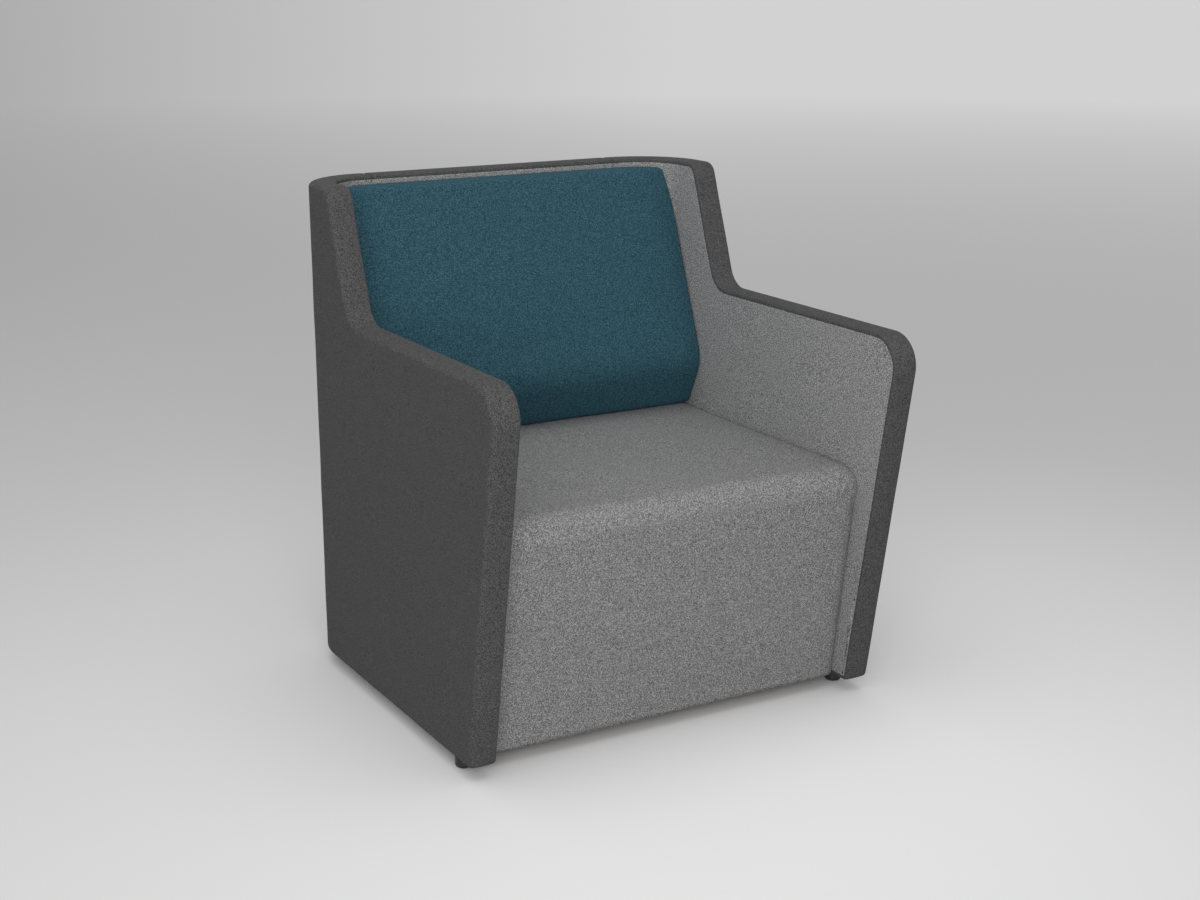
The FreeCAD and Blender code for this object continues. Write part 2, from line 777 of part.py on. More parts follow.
def pad_form(label, skin_depth):
    """The back pad drawn in by skin_depth all round."""
    body = new_body(label)
    back = pad_rear - skin_depth
    slant_shift = skin_depth * pad_slant
    low = pad_low + skin_depth
    high = pad_high - skin_depth
    foot = pad_rear - cell("pad_bottom_thickness") + slant_shift
    bulge = pad_rear - cell("pad_bulge_thickness") + slant_shift
    brow = pad_rear - cell("pad_top_thickness") + slant_shift
    corners = [(back, low), (foot, low), (bulge, bulge_z), (brow, high), (back, high)]
    profile = outline(body, label + "_side_view", "YZ_Plane", corners)
    half = pad_half - skin_depth
    pad_across(body, profile, 2 * half)
    round_edges(body, label + "_bulge", cell("pad_bulge_radius") - skin_depth, along_x_at(bulge, bulge_z))
    round_edges(body, label + "_corners", corner - thickness - cell("pad_gap") - skin_depth,
                upright_at(half, back))

    def front_edges(middle, edge):
        lowest = near(middle.z, mm(low)) and near(middle.y, mm(foot))
        highest = near(middle.z, mm(high)) and near(middle.y, mm(brow))
        level = near(middle.z, mm(low)) or near(middle.z, mm(high))
        return lowest or highest or (near(abs(middle.x), mm(half)) and not level)

    round_edges(body, label + "_front", cell("pad_edge_radius") - skin_depth, front_edges)
    return body


pad_shell = pad_form("pad_shell", Size(0))
pad_hollow = pad_form("pad_hollow", fabric)
keep(cut("back_pad_cover", cut("whole_pad_cover", pad_shell, pad_hollow), pad_bolt_holes))
board_back_y = pad_rear - fabric
board_block = box("pad_board_blank", (-board_half, board_back_y - pad_board, board_low),
                  (board_half, board_back_y, board_high))
keep(cut("back_pad_foam", pad_hollow, board_block))
keep(cut("back_pad_board", board_block, pad_nut_holes))

# Levelling glides: a moulded pad that slides with the foot of a turning stud
glide_high = bottom - cell("glide_top_gap")
foot_low = cell("glide_foot_lift")
foot_high = foot_low + cell("glide_foot_height")
foot_radius = cell("glide_foot_radius")
play = cell("glide_play")
sole_round = cell("glide_sole_round")
for place_name, spot in glides.items():
    radius = cell("glide_radius")
    body = new_body("glide_pad_" + place_name)
    view = outline(body, f"glide_pad_{place_name}_half", "XZ_Plane", [
        (Size(0), Size(0)), (radius, Size(0)), (radius, glide_high), (stud_bore, glide_high),
        (stud_bore, foot_high + play), (foot_radius + play, foot_high + play),
        (foot_radius + play, foot_low - play), (Size(0), foot_low - play)])
    turn(body, view)
    round_edges(body, f"glide_pad_{place_name}_sole", sole_round,
                lambda middle, edge: near(middle.z, 0) and edge.Curve.TypeId == "Part::GeomCircle")
    place(body, spot)
    keep(body)
    stud = new_body("glide_stud_" + place_name)
    stud_high = bottom + cell("stud_reach")
    chamfer = cell("stud_chamfer")
    view = outline(stud, f"glide_stud_{place_name}_half", "XZ_Plane", [
        (Size(0), foot_low), (foot_radius, foot_low), (foot_radius, foot_high),
        (stud_radius, foot_high), (stud_radius, stud_high - chamfer),
        (stud_radius - chamfer, stud_high), (Size(0), stud_high)])
    turn(stud, view)
    place(stud, spot)
    keep(stud)

# Check every object, then write each piece to its own file
doc.recompute()
for item in doc.Objects:
    if "Invalid" in item.State or "Error" in item.State:
        raise ValueError(f"{item.Label} is {item.State}")
os.makedirs("parts", exist_ok=True)
for item in parts:
    shape = item.Shape
    if shape.isNull() or not shape.isValid() or not shape.Solids:
        raise ValueError(f"{item.Label} has no valid solid")
for item in parts:
    item.Shape.exportStep(f"parts/{item.Label}.step")
    print(f"{item.Label}: {len(item.Shape.Solids)} solid(s), {item.Shape.Volume / 1000:.1f} cm3")
whole = Part.makeCompound([item.Shape for item in parts])
bounds = whole.optimalBoundingBox(True, False)
print(f"{len(parts)} pieces, {bounds.XLength:.2f} x {bounds.YLength:.2f} x {bounds.ZLength:.2f} mm")
print(f"from ({bounds.XMin:.2f}, {bounds.YMin:.2f}, {bounds.ZMin:.2f})")
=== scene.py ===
import math

import bmesh
import bpy
import numpy as np
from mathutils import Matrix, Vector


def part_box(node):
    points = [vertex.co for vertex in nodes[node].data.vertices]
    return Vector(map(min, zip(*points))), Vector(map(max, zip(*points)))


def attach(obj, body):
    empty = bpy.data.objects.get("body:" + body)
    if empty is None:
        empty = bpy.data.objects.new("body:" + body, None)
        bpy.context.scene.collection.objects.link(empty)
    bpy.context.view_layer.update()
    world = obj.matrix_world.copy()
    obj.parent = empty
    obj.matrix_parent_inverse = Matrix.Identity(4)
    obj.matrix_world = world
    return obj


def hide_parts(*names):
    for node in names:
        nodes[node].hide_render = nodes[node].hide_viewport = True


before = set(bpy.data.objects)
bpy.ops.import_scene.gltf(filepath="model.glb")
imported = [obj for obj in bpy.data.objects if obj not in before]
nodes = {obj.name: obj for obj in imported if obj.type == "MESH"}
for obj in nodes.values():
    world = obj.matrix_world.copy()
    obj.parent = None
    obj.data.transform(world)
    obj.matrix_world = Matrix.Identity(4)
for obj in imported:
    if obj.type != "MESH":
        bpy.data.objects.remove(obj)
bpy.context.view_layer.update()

# Lounge chair: an upholstered tub shell, a fixed seat, a back pad and four glides, dressed over its
# CAD frame. Metres, +X to the viewer's right, +Y to the rear, +Z up, origin on the floor.


# ---- Studio: where the chair is looked at ------------------------------------------------------
# A pale seamless floor with a painted pool of light round the chair and a painted glow that lifts
# it again in the far right, an even sky, a large soft lamp overhead and a stronger one to the left
# in front. The camera stands to the left of the chair's front.
class Grain:
    """A number that varies over a surface: a shader socket on which + - * / and ** work."""

    def __init__(self, tree, socket):
        self.tree = tree
        self.socket = socket

    def sum(self, operation, *numbers):
        node = self.tree.nodes.new("ShaderNodeMath")
        node.operation = operation
        for place, number in zip(node.inputs, numbers):
            if isinstance(number, Grain):
                self.tree.links.new(number.socket, place)
            else:
                place.default_value = number
        return Grain(self.tree, node.outputs[0])

    def __add__(self, other):
        return self.sum("ADD", self, other)

    __radd__ = __add__

    def __sub__(self, other):
        return self.sum("SUBTRACT", self, other)

    def __rsub__(self, other):
        return self.sum("SUBTRACT", other, self)

    def __mul__(self, other):
        return self.sum("MULTIPLY", self, other)

    __rmul__ = __mul__

    def __truediv__(self, other):
        return self.sum("DIVIDE", self, other)

    def __rtruediv__(self, other):
        return self.sum("DIVIDE", other, self)

    def __pow__(self, other):
        return self.sum("POWER", self, other)

    def __rpow__(self, other):
        return self.sum("POWER", other, self)

    def clip(self):
        return self.sum("MINIMUM", self.sum("MAXIMUM", self, 0.0), 1.0)


class Finish:
    """A material in the making. add() puts in one node and gives one of its outputs."""

    def __init__(self, name):
        self.material = bpy.data.materials.new(name)
        self.material.use_nodes = True
        self.tree = self.material.node_tree
        self.shader = self.tree.nodes["Principled BSDF"]

    def add(self, kind, settings, values, output=0):
        """A node of that kind: first its settings, then the values or links of its sockets."""
        node = self.tree.nodes.new("ShaderNode" + kind)
        for name, setting in settings.items():
            setattr(node, name, setting)
        for name, value in values.items():
            self.feed(node.inputs[name], value)
        return Grain(self.tree, node.outputs[output])

    def feed(self, place, value):
        if isinstance(value, Grain):
            self.tree.links.new(value.socket, place)
        else:
            place.default_value = value

    def place(self):
        """Where a point of the piece is, in metres in the chair's own frame."""
        return self.add("TexCoord", {}, {}, "Object")

    def noise(self, spot, scale, detail=2.0, roughness=0.5):
        return self.add("TexNoise", {}, {"Vector": spot, "Scale": scale, "Detail": detail,
                                         "Roughness": roughness}, "Fac")

    def blend(self, share, first, second):
        """A colour between two colours."""
        values = {0: share, 6: first, 7: second}
        return self.add("Mix", {"data_type": "RGBA"}, values, 2)

    def finish(self, colour, roughness, height=None, relief=0.0, **fixed):
        """Feeds the shader. height, in metres, is the bump; fixed are plain numbers and colours."""
        self.feed(self.shader.inputs["Base Color"], colour)
        self.feed(self.shader.inputs["Roughness"], roughness)
        if height is not None:
            bump = self.add("Bump", {}, {"Height": height, "Distance": 1.0, "Strength": relief},
                            "Normal")
            self.feed(self.shader.inputs["Normal"], bump)
        for name, value in fixed.items():
            self.shader.inputs[name.replace("_", " ")].default_value = value
        return self.material


def grey(level):
    return (level, level, level, 1.0)


camera_spot = (-1.484714, -2.613850, 1.226816)
camera_turn, camera_tilt = math.radians(-29.873), math.radians(15.283)

floor_finish = Finish("studio_floor")
floor_spot = floor_finish.place()
east, north = (floor_finish.add("SeparateXYZ", {}, {"Vector": floor_spot}, axis) for axis in (0, 1))

# The painted pool of light round the chair, and how far a point lies outside it
bright_spot, pool_shrink = (0.1, -0.2), 0.76
away_squared = (east - bright_spot[0]) ** 2 + (north - bright_spot[1]) ** 2
painted_light_pool = 2.718 ** (away_squared * -pool_shrink)
glow_start, glow_run, glow_most = 1.85, 11.0, 0.31
distant = ((away_squared ** 0.5 - glow_start) / glow_run).clip()

# The painted far glow is stronger to the right of the camera's line of sight
sideways, onward = east - camera_spot[0], north - camera_spot[1]
right = sideways * math.cos(camera_turn) + onward * math.sin(camera_turn)
ahead = onward * math.cos(camera_turn) - sideways * math.sin(camera_turn)
to_the_right = (right / ahead.sum("ABSOLUTE", ahead) * 2.0 + 0.92).clip()

# The painted glow and the painted pool of light are for what looks at the floor, not for the light
# it throws back
seen = (floor_finish.add("LightPath", {}, {}, "Is Camera Ray")
        + floor_finish.add("LightPath", {}, {}, "Is Glossy Ray")
        + floor_finish.add("LightPath", {}, {}, "Is Transmission Ray")).clip()
painted_glow = floor_finish.blend(seen * (distant * to_the_right * glow_most), grey(0.0), grey(1.0))
floor_finish.feed(floor_finish.shader.inputs["Emission Color"], painted_glow)
# Painted pool of light: what looks at the floor sees it paler close round the chair than farther
# out
seen_paint = floor_finish.blend(painted_light_pool, grey(0.62), grey(0.86))
floor_finish.finish(floor_finish.blend(seen, grey(0.42), seen_paint), 0.9,
                    Specular_IOR_Level=0.1, Emission_Strength=1.0)

half = 80.0
floor_mesh = bpy.data.meshes.new("studio_floor")
floor_mesh.from_pydata([(-half, -half, 0), (half, -half, 0), (half, half, 0), (-half, half, 0)],
                       [], [(0, 1, 2, 3)])
floor = bpy.data.objects.new("studio_floor", floor_mesh)
floor.data.materials.append(floor_finish.material)
bpy.context.collection.objects.link(floor)

sky = bpy.data.worlds.new("studio_sky")
sky.use_nodes = True
tree = sky.node_tree
sky_light = tree.nodes["Background"]
sky_light.inputs["Color"].default_value = grey(1.0)
sky_light.inputs["Strength"].default_value = 0.52
backdrop = tree.nodes.new("ShaderNodeBackground")
backdrop.inputs["Color"].default_value = grey(0.61)
path = tree.nodes.new("ShaderNodeLightPath")
choice = tree.nodes.new("ShaderNodeMixShader")
seen_sky = (Grain(tree, path.outputs["Is Camera Ray"]) + Grain(tree, path.outputs["Is Glossy Ray"])
            + Grain(tree, path.outputs["Is Transmission Ray"])).clip()
tree.links.new(seen_sky.socket, choice.inputs["Fac"])
tree.links.new(sky_light.outputs[0], choice.inputs[1])
tree.links.new(backdrop.outputs[0], choice.inputs[2])
tree.links.new(choice.outputs[0], tree.nodes["World Output"].inputs["Surface"])
bpy.context.scene.world = sky

lit_point = (0, 0, 0.4)
for name, at, size, power in (("overhead_softbox", (-0.6, -0.5, 3.4), 4.0, 42.0),
                              ("front_softbox", (-2.3, -3.9, 1.5), 2.8, 125.0)):
    lamp = bpy.data.lights.new(name, "AREA")
    lamp.shape = "SQUARE"
    lamp.size = size
    lamp.energy = power
    holder = bpy.data.objects.new(name, lamp)
    holder.location = at
    away = [a - b for a, b in zip(at, lit_point)]
    pan = math.atan2(away[0], -away[1])
    tip = math.atan2(math.hypot(away[0], away[1]), away[2])
    holder.rotation_euler = (tip, 0, pan)
    bpy.context.collection.objects.link(holder)

camera = bpy.data.cameras.new("photo_camera")
camera.sensor_width = 36.0
camera.lens = 55.72
camera.clip_end = 200.0
viewer = bpy.data.objects.new("photo_camera", camera)
viewer.location = camera_spot
viewer.rotation_euler = (math.pi / 2 - camera_tilt, math.radians(0.034), camera_turn)
bpy.context.collection.objects.link(viewer)
bpy.context.scene.camera = viewer
bpy.context.scene.view_settings.view_transform = "Standard"


# ---- Plywood cores of the shell ----------------------------------------------------------------
# Five birch plywood parts make the tub's skeleton: two flat sides, a flat back and two bent corner
# formers. They are sawn to the arm and wing outline, and glued over dowels where they meet.
corner_x, corner_y, corner_radius = 0.250, 0.258, 0.125
shell_thickness = 0.045
ply_thickness = 0.0018


def dress(names, material):
    """Gives CAD nodes their material."""
    for name in names:
        mesh = nodes[name].data
        mesh.materials.clear()
        mesh.materials.append(material)


def plywood(name, layers):
    """Birch plywood. layers(x, y) gives the distance through the sheet, so the plies follow it."""
    wood = Finish(name)
    spot = wood.place()
    x, y = (wood.add("SeparateXYZ", {}, {"Vector": spot}, axis) for axis in (0, 1))
    ply = (layers(x, y) / ply_thickness).sum("PINGPONG", layers(x, y) / ply_thickness, 1.0)
    glue = ((ply - 0.86) * 9).clip()
    upright = wood.add("Mapping", {}, {"Vector": spot, "Scale": (26, 26, 1.6)})
    figure = wood.noise(upright, 9.0, 4.0, 0.6)
    pores = wood.noise(wood.add("Mapping", {}, {"Vector": spot, "Scale": (900, 900, 45)}), 1.0, 1.0)
    colour = wood.blend(figure, (0.50, 0.32, 0.16, 1), (0.72, 0.53, 0.31, 1))
    colour = wood.blend((pores - 0.45) * 0.9, colour, (0.33, 0.19, 0.09, 1))
    colour = wood.blend(glue * 0.75, colour, (0.16, 0.09, 0.05, 1))
    return wood.finish(colour, figure * 0.2 + 0.5, pores * 0.00004, 0.6)


side_ply = plywood("side_plywood", lambda x, y: x)
back_ply = plywood("back_plywood", lambda x, y: y)
bent_ply = plywood("bent_plywood", lambda x, y: (
    (x.sum("ABSOLUTE", x) - corner_x) ** 2 + (y - corner_y) ** 2) ** 0.5)
dress(["left_side_panel", "right_side_panel"], side_ply)
dress(["back_panel"], back_ply)
dress(["left_corner_former", "right_corner_former"], bent_ply)


# ---- Dowels, rails, corner blocks and front board ----------------------------------------------
# Planed beech: rails and glue blocks of the two frames under the seat, and fluted dowels in the
# shell. The grain runs along each rail. The front board is plywood, screwed on from the front.
def beech(name, along):
    """Beech with its long grain and short dark flecks along one axis, 0 for X, 1 for Y, 2 for Z."""
    wood = Finish(name)
    spot = wood.place()
    stretched = [1.0, 1.0, 1.0]
    stretched[along] = 0.06
    grain = wood.add("Mapping", {}, {"Vector": spot, "Scale": stretched})
    figure = wood.noise(grain, 70.0, 4.0, 0.55)
    rings = wood.noise(grain, 24.0, 2.0, 0.4)
    flecks = ((wood.noise(grain, 620.0, 1.0) - 0.6) * 6).clip()
    colour = wood.blend(figure, (0.49, 0.27, 0.14, 1), (0.66, 0.42, 0.24, 1))
    colour = wood.blend(rings * 0.5, colour, (0.58, 0.36, 0.20, 1))
    colour = wood.blend(flecks * 0.6, colour, (0.27, 0.13, 0.06, 1))
    return wood.finish(colour, figure * 0.15 + 0.48, figure * 0.00003, 0.7)


beech_across = beech("beech_across", 0)
beech_deep = beech("beech_front_to_back", 1)
beech_upright = beech("beech_upright", 2)
dress(["seat_front_rail", "seat_rear_rail", "base_front_rail", "base_rear_rail"], beech_across)
dress(["seat_left_rail", "seat_right_rail", "base_left_rail", "base_right_rail"], beech_deep)
dress(["seat_frame_corner_blocks"], beech_upright)
dress(["panel_dowels"], beech_deep)
dress(["front_board"], plywood("board_plywood", lambda x, y: y))


# ---- Bolts, tee nuts, screws and glide inserts -------------------------------------------------
# Zinc-plated steel fasteners that hold both frames in the shell and the pad's board on the back.
zinc = Finish("zinc_plated_steel")
patches = zinc.noise(zinc.place(), 260.0, 3.0)
zinc.finish(zinc.blend(patches, (0.60, 0.61, 0.62, 1), (0.72, 0.71, 0.66, 1)),
            patches * 0.25 + 0.22, zinc.noise(zinc.place(), 1500.0) * 0.00001, 0.5, Metallic=1.0)
dress(["seat_frame_bolts", "seat_frame_tee_nuts", "back_pad_bolts", "back_pad_tee_nuts",
       "front_board_screws", "glide_inserts"], zinc.material)
dress([name for name in nodes if name.startswith("glide_stud")], zinc.material)


# ---- Foam --------------------------------------------------------------------------------------
# Cut polyurethane foam under every cover. It is out of sight on the finished chair, and each
# upholstered body below stands for its own cover and the foam in it.
foam = Finish("cut_foam")
cells = foam.noise(foam.place(), 900.0, 2.0, 0.7)
yellowing = foam.noise(foam.place(), 14.0)
foam.finish(foam.blend(yellowing, (0.77, 0.72, 0.55, 1), (0.83, 0.80, 0.69, 1)),
            cells * 0.1 + 0.85, cells * 0.0004, 0.8)
dress(["left_side_foam", "back_foam", "right_side_foam", "seat_foam", "front_foam",
       "back_pad_foam"], foam.material)


# ---- Outer covers of the shell -----------------------------------------------------------------
# Dark grey wool felt, pulled tight over the foam, over the rim and 7 mm down the inside, where it
# is sewn to the lining. The covers meet in plain seams 12 mm short of the rounded corners.
shell_bottom, shell_top, arm_top = 0.023, 0.844, 0.631
wing_top_y, wing_rake = 0.209, math.radians(20)
arm_nose_y, front_rake = -0.39316, math.radians(10)
nose_radius, toe_radius, foot_radius, wing_radius = 0.053, 0.010, 0.045, 0.025
outer_round, inner_round = 0.008, 0.004
seam_run = 0.238
quarter = corner_radius * math.pi / 2
side_run = corner_x + quarter + corner_y


def felt(name, dark, light, contrast, fuzz, fineness=680.0):
    """Wool felt: fine flecks of dark and light fibre, faint clouds of them, and a soft nap, with
    painted shade along seams and folds where the seam attribute asks for it. contrast sets them
    apart, fuzz is the nap's sheen, and fineness how many lie in a metre."""
    wool = Finish(name)
    spot = wool.place()
    fleck = wool.noise(spot, fineness, 1.0, 0.7)
    clump = wool.noise(spot, 330.0, 1.0, 0.5)
    cloud = wool.noise(spot, 60.0, 2.0)
    seam = wool.add("Attribute", {"attribute_name": "seam"}, {}, "Fac")
    mix = (fleck - 0.5) * contrast + (clump - 0.5) * (contrast * 0.25) + (cloud - 0.5) * 0.16 + 0.38
    colour = wool.blend(mix.clip(), dark, light)
    # Painted shade: the seam attribute darkens the colour towards black along seam grooves and the
    # fold at the lining
    colour = wool.blend(seam * 0.4, colour, grey(0.0))
    height = fleck * 0.00018 + clump * 0.00014
    return wool.finish(colour, 1 - fleck * 0.12, height, 0.6, Specular_IOR_Level=0.18,
                       Sheen_Weight=fuzz, Sheen_Roughness=0.45, Sheen_Tint=light)


def fillet(before, corner, after, radius, count):
    """Points along the arc that touches both sides of a corner, from one touching point on."""
    back, on = before - corner, after - corner
    back, on = back / np.linalg.norm(back), on / np.linalg.norm(on)
    opening = math.acos(float(back @ on))
    middle = back + on
    centre = corner + middle / np.linalg.norm(middle) * radius / math.sin(opening / 2)
    reach = radius / math.tan(opening / 2)
    first, last = corner + back * reach - centre, corner + on * reach - centre
    turn = math.pi - opening
    share = np.linspace(0, 1, count)[:, None]
    spoke = first * np.sin((1 - share) * turn) + last * np.sin(share * turn)
    return centre + spoke / math.sin(turn)


def between(first, last, count):
    """Evenly spaced points inside the straight line from first to last."""
    share = np.linspace(0, 1, count + 2)[1:-1, None]
    return first + share * (last - first)


def graded(start, stop):
    """Runs from start to the seam at stop: even steps, then finer ones where the cloth dips."""
    near = np.array([0.016, 0.011, 0.0075, 0.005, 0.0033, 0.0018, 0.0008, 0.0])
    even = np.linspace(start, stop + near[0], max(2, int((start - stop) / 0.0075)))
    return np.concatenate([even, stop + near[1:]])


upright_runs = graded(side_run - 0.22655, seam_run)


def side_lines(inset):
    """Lower and upper border of a side, drawn in by inset, as (run, height). The run is measured on
    the outer face from the middle of the back. The upper border starts under the arm's nose, goes
    along the arm, round the foot of the wing, up the wing and along its top to the seam."""
    low, high, shelf = shell_bottom + inset, shell_top - inset, arm_top - inset
    wing, front = inset / math.cos(wing_rake), inset / math.cos(front_rake)

    def wing_run(height):
        return side_run - (wing_top_y - (shell_top - height) * math.tan(wing_rake) + wing)

    def front_run(height):
        return side_run - (arm_nose_y + (arm_top - height) * math.tan(front_rake) + front)

    toe = np.array([front_run(low), low])
    nose = np.array([front_run(shelf), shelf])
    foot = np.array([wing_run(shelf), shelf])
    peak = np.array([wing_run(high), high])
    end = np.array([seam_run, high])
    nose_arc = fillet(toe, nose, foot, nose_radius - inset, 16)
    foot_arc = fillet(nose, foot, peak, foot_radius + inset, 10)
    peak_arc = fillet(foot, peak, end, wing_radius - inset, 9)
    upper = np.concatenate([nose_arc, between(nose_arc[-1], foot_arc[0], 50), foot_arc,
                            between(foot_arc[-1], peak_arc[0], 19), peak_arc])
    toe_arc = fillet(nose, toe, np.array([seam_run, low]), toe_radius - inset, 6)
    length = np.concatenate([[0], np.cumsum(np.linalg.norm(np.diff(upper, axis=0), axis=1))])
    share = (length[6:] - length[5]) / (length[-1] - length[5])
    runs = toe_arc[-1, 0] + share * (peak_arc[-1, 0] - toe_arc[-1, 0])
    lower = np.concatenate([toe_arc, np.stack([runs, np.full_like(runs, low)], -1)])
    rear = upright_runs[1:]
    lower = np.concatenate([lower, np.stack([rear, np.full_like(rear, low)], -1)])
    upper = np.concatenate([upper, np.stack([rear, np.full_like(rear, high)], -1)])
    return lower, upper


back_runs = graded(0.0, -seam_run)
back_runs = np.concatenate([back_runs[::-1], -back_runs[1:]])


def back_lines(inset):
    """Lower and upper border of the back, drawn in by inset, from seam to seam."""
    return (np.stack([back_runs, np.full_like(back_runs, shell_bottom + inset)], -1),
            np.stack([back_runs, np.full_like(back_runs, shell_top - inset)], -1))


def wrap(run, height, depth):
    """Bends a flat sheet round the tub. Straight behind the seat, then a quarter circle, then
    straight towards the front; depth is how far a point lies inside the outer face."""
    side, run = np.sign(run), np.abs(run)
    turn = np.clip((run - corner_x) / corner_radius, 0, math.pi / 2)
    past = np.maximum(run - corner_x - quarter, 0)
    x = np.minimum(run, corner_x) + (corner_radius - depth) * np.sin(turn)
    y = corner_y + (corner_radius - depth) * np.cos(turn) - past
    return np.stack([side * x, y, height], -1)


def unevenness(run, height):
    """Hand-pulled cloth is never quite flat: a few long shallow waves that don't line up."""
    return (np.sin(run * 31 + height * 9 + 1) + np.sin(run * 17 - height * 38)
            + np.sin(height * 61 + run * 12 + 2) * 0.6) / 2.6


def seam_dip(run, height):
    """How far the cloth is drawn in beside an upright seam: most on it, none 6 mm away, and a
    little deeper and shallower in turn along it, as stitches pull it."""
    near = np.clip(1 - np.abs(np.abs(run) - seam_run) / 0.006, 0, 1) ** 2
    return near * (0.0015 + 0.00025 * np.sin(height * 620 + 2 * np.sin(height * 90)))


def bodywork(lines, edge, rows, front, mirror=1, wave=0.0):
    """Grids of a closed upholstered panel, each point with its weight of painted seam shade: two
    faces ruled between the lower and the upper border, and the rolled edge that joins them. A row
    of edge gives inset and depth, by what share a dip draws it in from the rim and in from the
    face, and its weight of painted shade."""
    rise = np.linspace(0, 1, rows)[:, None, None]
    mid_height, darkest_dip = 0.4, 0.0022

    def laid(points, depth, lift, turn, weight):
        run, height = points[..., 0], points[..., 1]
        dip = seam_dip(run, height)
        depth = depth + turn * dip - turn * wave * unevenness(run, height)
        height = height - np.sign(height - mid_height) * lift * dip
        spots = wrap(run * mirror, height, depth)
        # Painted shade: the darker of the row's own weight and how deeply a seam draws the cloth in
        painted_seam_shade = np.maximum(weight, dip / darkest_dip)
        return np.concatenate([spots, np.broadcast_to(painted_seam_shade, run.shape)[..., None]], -1)

    grids = []
    for inset, depth, lift, turn, weight in (edge[0], edge[-1]):
        lower, upper = lines(inset)
        grids.append(laid(lower + rise * (upper - lower), depth, 0.0, turn, 0.0))
    loops = []
    for inset, depth, lift, turn, weight in edge:
        lower, upper = lines(inset)
        if front:
            nose = lower[0] + rise[1:-1, 0] * (upper[0] - lower[0])
            loop = np.concatenate([lower[::-1], nose, upper])
            loops.append(laid(loop, depth, lift, turn, weight))
        else:
            loops.append(np.stack([laid(lower, depth, lift, turn, weight),
                                   laid(upper, depth, lift, turn, weight)]))
    loops = np.array(loops)
    return grids + ([loops] if front else [loops[:, 0], loops[:, 1]])


def sew(name, grids, material, stands_for):
    """One closed piece from grids of points that share their borders: they are merged where they
    meet, ends left open are closed with a flat face, and all faces are turned outwards."""
    points, faces, first = [], [], 0
    for grid in grids:
        rows, columns = grid.shape[:2]
        index = first + np.arange(rows * columns).reshape(rows, columns)
        corners = (index[:-1, :-1], index[:-1, 1:], index[1:, 1:], index[1:, :-1])
        faces.append(np.stack(corners, -1).reshape(-1, 4))
        points.append(grid.reshape(-1, 4))
        first += rows * columns
    points = np.concatenate(points)
    mesh = bpy.data.meshes.new(name)
    mesh.from_pydata(points[:, :3].tolist(), [], np.concatenate(faces).tolist())
    # The seam attribute holds each point's weight of painted seam shade, which the felt reads
    mesh.attributes.new("seam", "FLOAT", "POINT").data.foreach_set("value", points[:, 3])
    work = bmesh.new()
    work.from_mesh(mesh)
    bmesh.ops.remove_doubles(work, verts=work.verts, dist=0.00002)
    for face in work.faces:
        face.smooth = True
    closing = bmesh.ops.holes_fill(work, edges=[e for e in work.edges if e.is_boundary], sides=0)
    for face in closing["faces"]:
        face.smooth = False
        for edge in face.edges:
            edge.smooth = False
    bmesh.ops.recalc_face_normals(work, faces=work.faces)
    work.to_mesh(mesh)
    work.free()
    mesh.materials.append(material)
    piece = bpy.data.objects.new(name, mesh)
    bpy.context.collection.objects.link(piece)
    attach(piece, "chair_body")
    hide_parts(*stands_for)
    return piece


# The border's section, from the outer face over the rim to the fold at the lining
bend = np.linspace(0, math.pi / 2, 8)
crest = np.linspace(-1, 1, 9)[1:-1]
crest_half = (shell_thickness - outer_round - inner_round) / 2
band_middle = outer_round + crest_half
cover_edge = np.concatenate([
    np.column_stack([outer_round * (1 - np.sin(bend)), outer_round * (1 - np.cos(bend)),
                     np.sin(bend), np.cos(bend), bend * 0]),
    np.column_stack([-0.0006 * (1 - crest ** 2), band_middle + crest_half * crest,
                     crest * 0 + 1, crest * 0, crest * 0]),
    np.column_stack([inner_round * (1 - np.cos(bend)),
                     shell_thickness - inner_round * (1 - np.sin(bend)),
                     np.cos(bend), -np.sin(bend), bend * 0]),
    # The rows at the fold to the lining carry weights of painted shade in their last column
    [[0.0054, 0.0450, 0, -1, 0.0], [0.0064, 0.04498, 0, -1, 0.0], [0.0068, 0.0448, 0, -1, 0.0],
     [0.0070, 0.0446, 0, -1, 0.1], [0.00705, 0.0442, 0, -1, 0.3], [0.0072, 0.0428, 0, -1, 0.3],
     [0.0092, 0.0424, 0, -1, 0.0]]])

dark_felt = felt("dark_grey_felt", grey(0.035), grey(0.114), 4.0, 0.11)
for side, mirror in (("left", -1), ("right", 1)):
    cover = sew(side + "_side_upholstery",
                bodywork(side_lines, cover_edge, 86, True, mirror, 0.0004), dark_felt,
                [side + "_side_cover", side + "_side_foam"])
cover = sew("back_upholstery", bodywork(back_lines, cover_edge, 86, False, 1, 0.0004), dark_felt,
            ["back_cover", "back_foam"])
dress(["left_side_cover", "back_cover", "right_side_cover"], dark_felt)


# ---- Inner linings -----------------------------------------------------------------------------
# Lighter grey felt of the same weight on the tub's inside, one piece for each side and one for the
# back, sewn to the outer covers all round and to each other at the corners.
# The lining's rolled edge up to its fold at the cover; rows at the fold carry weights of painted
# shade in their last column
lining_edge = np.array([
    [0.0125, 0.0450, 0, -1, 0.0], [0.0090, 0.0450, 0, -1, 0.0], [0.0078, 0.04498, 0, -1, 0.0],
    [0.0073, 0.0448, 0, -1, 0.0], [0.00709, 0.0446, 0, -1, 0.1], [0.00708, 0.0442, 0, -1, 0.3],
    [0.0075, 0.0433, 0, -1, 0.3], [0.0092, 0.0430, 0, -1, 0.0]])
